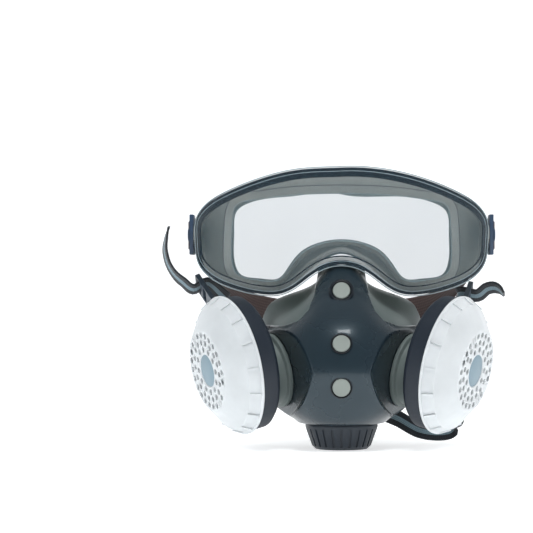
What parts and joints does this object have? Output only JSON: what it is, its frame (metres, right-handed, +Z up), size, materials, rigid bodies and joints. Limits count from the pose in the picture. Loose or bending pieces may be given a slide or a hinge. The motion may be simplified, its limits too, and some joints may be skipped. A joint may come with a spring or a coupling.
{
  "type": "half mask respirator with goggles",
  "caption": "Painter's half mask with a swivelled filter on each cheek, an exhale valve under the chin, wrap-around goggles over the nose, and head and neck straps.",
  "frame": {"origin": "middle of the flat foot of the exhale valve cover, on which the mask stands", "axes": "+Z up, +X to the viewer's right when facing the mask's front, +Y from the front towards the wearer"},
  "size_m": [0.2135, 0.1604, 0.1675],
  "materials": {
    "soft_seal": "smooth translucent grey-green elastomer",
    "hard_shell": "glossy dark slate moulding",
    "stud_grey": "satin light grey",
    "port_grey": "satin grey-green",
    "base_dark": "matte near-black slate",
    "cover_frost": "frosted translucent white",
    "plug_grey": "satin blue-grey",
    "flap_rubber": "thin silicone",
    "ring_rubber": "black elastomer",
    "carbon": "carbon-loaded felt",
    "cotton": "fibrous filter felt",
    "lens_clear": "clear polycarbonate, polished",
    "frame_smoke": "glossy smoke-tinted",
    "bracket_blue": "satin dark blue-grey",
    "strap_black": "woven elastic with a pale centre stripe",
    "headband_brown": "woven dark brown elastic",
    "buckle_dark": "satin dark"
  },
  "bodies": {
    "mask": {"facepiece": "soft_seal", "outer_shell": "hard_shell", "locking_studs": "stud_grey", "exhale_valve_seat": "port_grey", "left_harness_strap": "strap_black", "right_harness_strap": "strap_black", "left_neck_strap": "strap_black", "right_neck_strap": "strap_black", "crown_cradle": "buckle_dark", "neck_clasp": "buckle_dark", "left_port_connector": "port_grey", "left_port_seal": "ring_rubber", "left_strap_anchor": "hard_shell", "left_anchor_pin": "buckle_dark", "left_neck_lug": "hard_shell", "right_port_connector": "port_grey", "right_port_seal": "ring_rubber", "right_strap_anchor": "hard_shell", "right_anchor_pin": "buckle_dark", "right_neck_lug": "hard_shell"},
    "exhale_cover": {"exhale_valve_cover": "base_dark"},
    "exhale_flap": {"exhale_valve_flap": "flap_rubber"},
    "goggles": {"goggle_lens": "lens_clear", "goggle_frame": "frame_smoke", "goggle_seal": "soft_seal", "left_bracket_pin": "bracket_blue", "right_bracket_pin": "bracket_blue", "headband_slider": "buckle_dark"},
    "left_filter": {"left_filter_base": "base_dark", "left_filter_grid": "base_dark", "left_carbon_pad": "carbon", "left_cotton_pad": "cotton"},
    "left_cover": {"left_filter_cover": "cover_frost", "left_cover_plug": "plug_grey"},
    "left_inhale_flap": {"left_inhale_flap": "flap_rubber"},
    "left_bracket": {"left_strap_bracket": "bracket_blue", "left_headband": "headband_brown"},
    "left_buckle": {"left_buckle": "buckle_dark"},
    "right_filter": {"right_filter_base": "base_dark", "right_filter_grid": "base_dark", "right_carbon_pad": "carbon", "right_cotton_pad": "cotton"},
    "right_cover": {"right_filter_cover": "cover_frost", "right_cover_plug": "plug_grey"},
    "right_inhale_flap": {"right_inhale_flap": "flap_rubber"},
    "right_bracket": {"right_strap_bracket": "bracket_blue", "right_headband": "headband_brown"},
    "right_buckle": {"right_buckle": "buckle_dark"}
  },
  "joints": [
    {"name": "exhale_cover_twist", "type": "hinge", "parent": "mask", "child": "exhale_cover", "pos_m": [0, 0, 0.0146], "axis": [0, 0, 1], "range_deg": [0, 45]},
    {"name": "exhale_flap_lift", "type": "slide", "parent": "mask", "child": "exhale_flap", "axis": [0, 0, -1], "range_m": [0, 0.0018], "stiffness_N_per_m": 30},
    {"name": "goggles_lift", "type": "slide", "parent": "mask", "child": "goggles", "axis": [0, 0, 1], "range_m": [0, 0.03]},
    {"name": "left_filter_pull", "type": "slide", "parent": "mask", "child": "left_filter", "axis": [-0.8746, -0.4456, -0.1908], "range_m": [0, 0.02]},
    {"name": "left_cover_twist", "type": "hinge", "parent": "left_filter", "child": "left_cover", "pos_m": [-0.03998, 0.00025, 0.05504], "axis": [-0.8746, -0.4456, -0.1908], "range_deg": [0, 30]},
    {"name": "left_inhale_lift", "type": "slide", "parent": "mask", "child": "left_inhale_flap", "axis": [0.8746, 0.4456, 0.1908], "range_m": [0, 0.0018], "stiffness_N_per_m": 30},
    {"name": "left_bracket_turn", "type": "hinge", "parent": "goggles", "child": "left_bracket", "pos_m": [-0.0922, 0.058, 0.1285], "axis": [1, 0, 0], "range_deg": [-15, 15], "deforming": ["left_headband"]},
    {"name": "left_buckle_swing", "type": "hinge", "parent": "mask", "child": "left_buckle", "pos_m": [-0.0775, 0.045, 0.0825], "axis": [0, -0.7828, 0.6222], "range_deg": [-12, 12], "deforming": ["left_harness_strap"]},
    {"name": "right_filter_pull", "type": "slide", "parent": "mask", "child": "right_filter", "axis": [0.8746, -0.4456, -0.1908], "range_m": [0, 0.02]},
    {"name": "right_cover_twist", "type": "hinge", "parent": "right_filter", "child": "right_cover", "pos_m": [0.03998, 0.00025, 0.05504], "axis": [0.8746, -0.4456, -0.1908], "range_deg": [0, 30]},
    {"name": "right_inhale_lift", "type": "slide", "parent": "mask", "child": "right_inhale_flap", "axis": [-0.8746, 0.4456, 0.1908], "range_m": [0, 0.0018], "stiffness_N_per_m": 30},
    {"name": "right_bracket_turn", "type": "hinge", "parent": "goggles", "child": "right_bracket", "pos_m": [0.0922, 0.058, 0.1285], "axis": [1, 0, 0], "range_deg": [-15, 15], "deforming": ["right_headband"]},
    {"name": "right_buckle_swing", "type": "hinge", "parent": "mask", "child": "right_buckle", "pos_m": [0.0745, 0.0445, 0.079], "axis": [0, -0.6222, 0.7828], "range_deg": [-12, 9], "deforming": ["right_harness_strap"]}
  ]
}
